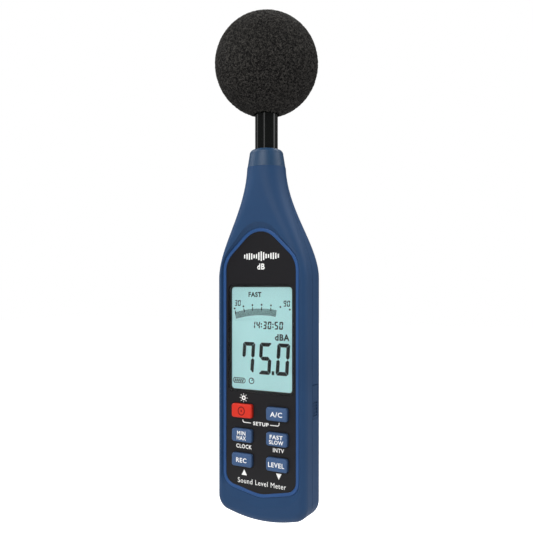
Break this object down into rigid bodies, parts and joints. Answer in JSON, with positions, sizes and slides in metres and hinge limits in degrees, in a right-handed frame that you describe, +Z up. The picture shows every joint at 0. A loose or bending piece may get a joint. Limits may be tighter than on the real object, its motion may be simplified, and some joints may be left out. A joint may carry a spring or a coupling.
{
  "type": "sound level meter",
  "caption": "Hand-held sound level meter with a foam windscreen on a slim microphone tube, a display, keys and a battery bay at the back.",
  "frame": {"origin": "mouth of the tripod socket in the flat back", "axes": "+Z up the meter to the microphone, +Y out of the back, +X to the right of the display"},
  "size_m": [0.06, 0.06, 0.2933],
  "materials": {
    "foam": "open-cell polyurethane foam",
    "grid_metal": "satin anodised",
    "steel": "satin",
    "insulator": "satin",
    "brass": "satin",
    "tube_black": "gloss black anodised",
    "board_green": "solder mask",
    "rubber_black": "matte",
    "case_light_blue": "satin moulded",
    "case_blue": "satin moulded",
    "panel_black": "satin printed film",
    "clear_window": "clear",
    "display_face": "liquid crystal display, mint grey",
    "white_plastic": "diffuser",
    "rubber_grey": "silicone",
    "key_red": "satin",
    "key_blue": "satin",
    "chip_black": "epoxy",
    "socket_black": "moulded",
    "trimmer_blue": "moulded",
    "cell_wrap": "printed wrap on steel can",
    "spring_steel": "nickel plated",
    "screw_black": "black oxide",
    "rubber_blue": "soft moulded",
    "label_silver": "printed film"
  },
  "bodies": {
    "case": {"microphone_grid": "grid_metal", "microphone_capsule": "steel", "microphone_diaphragm": "steel", "microphone_insulator": "insulator", "microphone_contact": "brass", "microphone_tube": "tube_black", "preamp_board": "board_green", "tube_nut": "brass", "tube_o_ring": "rubber_black", "neck_collar": "case_light_blue", "panel_trim": "case_light_blue", "front_case": "case_blue", "rear_case": "case_blue", "front_panel": "panel_black", "display_window": "clear_window", "display_bezel": "panel_black", "display_glass": "display_face", "display_backlight": "white_plastic", "display_connectors": "rubber_grey", "keypad_mat": "rubber_grey", "contact_pills": "rubber_black", "main_board": "board_green", "board_components": "chip_black", "board_screws": "steel", "usb_socket": "steel", "output_jack": "socket_black", "dc_jack": "socket_black", "trimmer_body": "trimmer_blue", "microphone_lead": "rubber_black", "battery_cell_1": "cell_wrap", "battery_cell_2": "cell_wrap", "battery_cell_3": "cell_wrap", "battery_cell_4": "cell_wrap", "battery_springs": "spring_steel", "battery_plates": "spring_steel", "case_screws": "screw_black", "tripod_insert": "brass", "rating_label": "label_silver"},
    "windscreen": {"windscreen": "foam"},
    "battery_door": {"battery_door": "case_blue", "door_pad": "foam"},
    "port_cover": {"port_cover": "rubber_blue"},
    "trimmer_rotor": {"trimmer_rotor": "brass"},
    "key_power": {"key_power": "key_red"},
    "key_weighting": {"key_weighting": "key_blue"},
    "key_min_max": {"key_min_max": "key_blue"},
    "key_response": {"key_response": "key_blue"},
    "key_record": {"key_record": "key_blue"},
    "key_level": {"key_level": "key_blue"}
  },
  "joints": [
    {"name": "windscreen_pull", "type": "slide", "parent": "case", "child": "windscreen", "axis": [0, 0, 1], "range_m": [0, 0.045]},
    {"name": "battery_door_tilt", "type": "hinge", "parent": "case", "child": "battery_door", "pos_m": [0, 0, -0.07162], "axis": [-1, 0, 0], "range_deg": [0, 40]},
    {"name": "port_cover_swing", "type": "hinge", "parent": "case", "child": "port_cover", "pos_m": [0.0284, -0.0115, -0.00395], "axis": [0, -1, 0], "range_deg": [0, 90]},
    {"name": "trimmer_turn", "type": "hinge", "parent": "case", "child": "trimmer_rotor", "pos_m": [-0.0253, -0.01895, 0.02], "axis": [-1, 0, 0], "range_deg": [-135, 135]},
    {"name": "key_power_press", "type": "slide", "parent": "case", "child": "key_power", "axis": [0, 1, 0], "range_m": [0, 0.0008], "stiffness_N_per_m": 800, "springref_m": -0.0005},
    {"name": "key_weighting_press", "type": "slide", "parent": "case", "child": "key_weighting", "axis": [0, 1, 0], "range_m": [0, 0.0008], "stiffness_N_per_m": 800, "springref_m": -0.0005},
    {"name": "key_min_max_press", "type": "slide", "parent": "case", "child": "key_min_max", "axis": [0, 1, 0], "range_m": [0, 0.0008], "stiffness_N_per_m": 800, "springref_m": -0.0005},
    {"name": "key_response_press", "type": "slide", "parent": "case", "child": "key_response", "axis": [0, 1, 0], "range_m": [0, 0.0008], "stiffness_N_per_m": 800, "springref_m": -0.0005},
    {"name": "key_record_press", "type": "slide", "parent": "case", "child": "key_record", "axis": [0, 1, 0], "range_m": [0, 0.0008], "stiffness_N_per_m": 800, "springref_m": -0.0005},
    {"name": "key_level_press", "type": "slide", "parent": "case", "child": "key_level", "axis": [0, 1, 0], "range_m": [0, 0.0008], "stiffness_N_per_m": 800, "springref_m": -0.0005}
  ]
}
